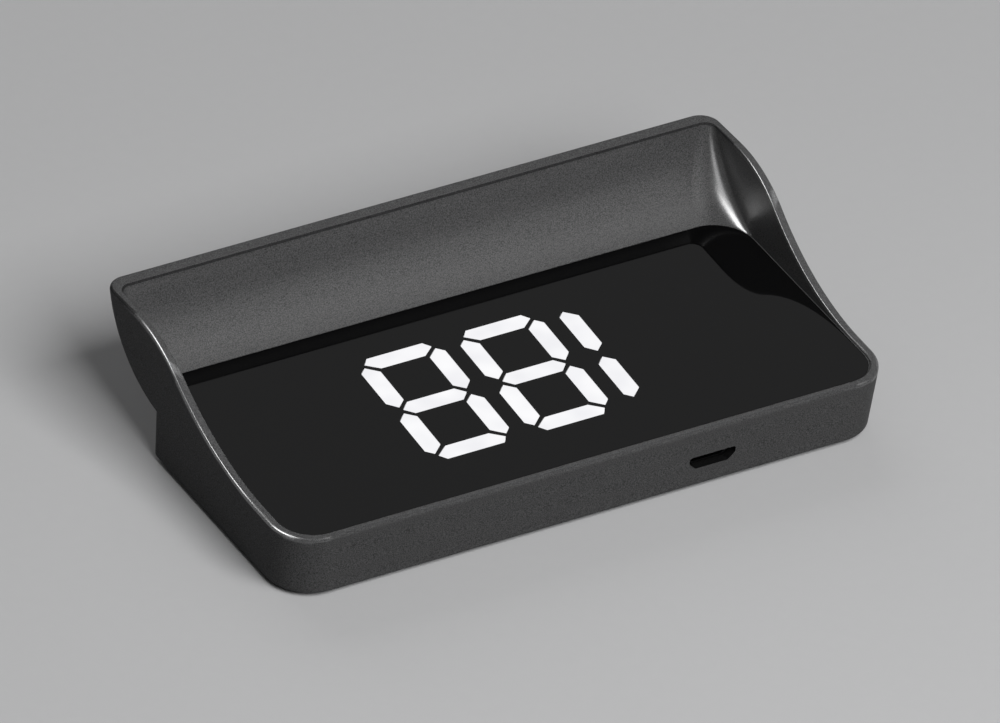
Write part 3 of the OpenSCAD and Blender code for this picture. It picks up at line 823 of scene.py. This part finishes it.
# --------------------------------------------------------------- pieces with softened edges
# The width in millimetres of each node's softened edges
SOFT_EDGES = {
    "bottom_cover": 0.25,
    "grip_pad": 0.25,
    "case_screws": 0.12,
    "mode_dial": 0.12,
    "dial_axle": 0.08,
    "usb_socket_shell": 0.05,
    "usb_socket_tongue": 0.08,
}
SOFT_ANGLE = 35  # degrees: edges sharper than this are softened
FLAT_ANGLE = 0.5  # degrees: faces that meet at less are joined first
SOFT_MERGE = 2e-6  # metres: joins the points that narrow bevels double
SPRING_ANGLE = 50  # degrees, for smooth shading


def softened(name, body, width):
    """A copy of a CAD node with small rounded edges, standing in for it."""
    node = frame["nodes"][name]
    piece = bpy.data.objects.new(f"{name}_soft", node.data.copy())
    piece.matrix_world = node.matrix_world
    scene.collection.objects.link(piece)
    cut = bmesh.new()
    cut.from_mesh(piece.data)
    bmesh.ops.remove_doubles(cut, verts=cut.verts, dist=MERGE)
    flat = math.radians(FLAT_ANGLE)
    bmesh.ops.dissolve_limit(cut, angle_limit=flat, verts=cut.verts, edges=cut.edges)
    cut.to_mesh(piece.data)
    cut.free()
    soften = piece.modifiers.new("soften", "BEVEL")
    soften.width = width * MM
    soften.segments = 3
    soften.limit_method = "ANGLE"
    soften.angle_limit = math.radians(SOFT_ANGLE)
    bake_modifiers(piece)
    tidy(piece, merge=SOFT_MERGE)
    smooth(piece, SOFT_ANGLE)
    dress(piece, slot_of[name], body)
    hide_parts(name)


def make_softened():
    for name, width in SOFT_EDGES.items():
        softened(name, body_of[name], width)


def make_spring():
    """The coil behind the dial's carriage, which shortens as the dial is pressed."""
    spring = bpy.data.objects.new("coil_spring", frame["nodes"]["dial_spring"].data.copy())
    scene.collection.objects.link(spring)
    smooth(spring, SPRING_ANGLE)
    dress(spring, "spring_steel", "case")
    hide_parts("dial_spring")
    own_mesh(spring)


# --------------------------------------------------------------------------------- the stage
FLOOR_REACH = 6.0  # metres
LIGHT_DISTANCE = 0.9  # metres
LIGHT_AIM = (0, 5 * MM, 8 * MM)


def make_floor():
    low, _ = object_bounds()
    corners = rectangle(-FLOOR_REACH, FLOOR_REACH, -FLOOR_REACH, FLOOR_REACH)
    mesh = bpy.data.meshes.new("floor")
    mesh.from_pydata([(x, y, low.z) for x, y in corners], [], [(0, 1, 2, 3)])
    floor = bpy.data.objects.new("floor", mesh)
    scene.collection.objects.link(floor)
    paper = surface("floor_paper", (0.31, 0.31, 0.313), spread=0.008, grain=2, blotch=60,
                    rough=0.9, rough_spread=0.004, bump=0.0)
    floor.data.materials.append(paper)


def make_world():
    world = bpy.data.worlds.new("world")
    world.use_nodes = True
    sky = world.node_tree.nodes["Background"]
    sky.inputs["Color"].default_value = (0.98, 0.99, 1.0, 1)
    sky.inputs["Strength"].default_value = 0.1
    scene.world = world


def area_light(name, azimuth, elevation, width, height, radiance, turn=0.0, sheen_only=False):
    """A soft box that faces the display. Azimuth 0 is in front, and 90 is to the right.

    A sheen light shows in glossy surfaces and casts no even light. The others are the reverse.
    """
    a, e = math.radians(azimuth), math.radians(elevation)
    way = Vector((math.sin(a) * math.cos(e), -math.cos(a) * math.cos(e), math.sin(e)))
    data = bpy.data.lights.new(name, "AREA")
    data.shape = "RECTANGLE"
    data.size = width
    data.size_y = height
    data.energy = radiance * math.pi * width * height
    light = bpy.data.objects.new(name, data)
    facing = way.to_track_quat("Z", "Y").to_matrix().to_4x4()
    facing = facing @ Matrix.Rotation(math.radians(turn), 4, "Z")
    light.matrix_world = Matrix.Translation(Vector(LIGHT_AIM) + way * LIGHT_DISTANCE) @ facing
    light.visible_diffuse = not sheen_only
    light.visible_glossy = sheen_only
    scene.collection.objects.link(light)
    return light


def make_lights():
    """Two even lights, and sheen lights. Five of those fall on the case alone, not the window."""
    area_light("key", 5, 48, 0.6, 0.6, 13.2)
    area_light("back_right", 146, 36, 0.4, 0.4, 0.5, sheen_only=True)
    for_case = [
        area_light("hood_low", 62, 62, 0.5, 0.4, 0.7, sheen_only=True),
        area_light("hood_high", 50, 50, 0.6, 0.8, 0.8, sheen_only=True),
        area_light("left_tall", -76, 33, 0.26, 0.66, 4.6, turn=15, sheen_only=True),
        area_light("left_strip", -90, 51, 0.5, 0.18, 14, turn=25, sheen_only=True),
        area_light("left_back", -114, 43, 0.5, 0.4, 14, turn=10, sheen_only=True),
    ]
    area_light("back_fill", 175, 28, 0.8, 0.8, 1.6)
    case_alone = bpy.data.collections.new("case_alone")
    case_alone.objects.link(bpy.data.objects["case"])
    for light in for_case:
        light.light_linking.receiver_collection = case_alone


make_camera()
scene.view_settings.view_transform = "Standard"
dress_cad_nodes()
make_case()
make_softened()
make_spring()
make_floor()
make_world()
make_lights()
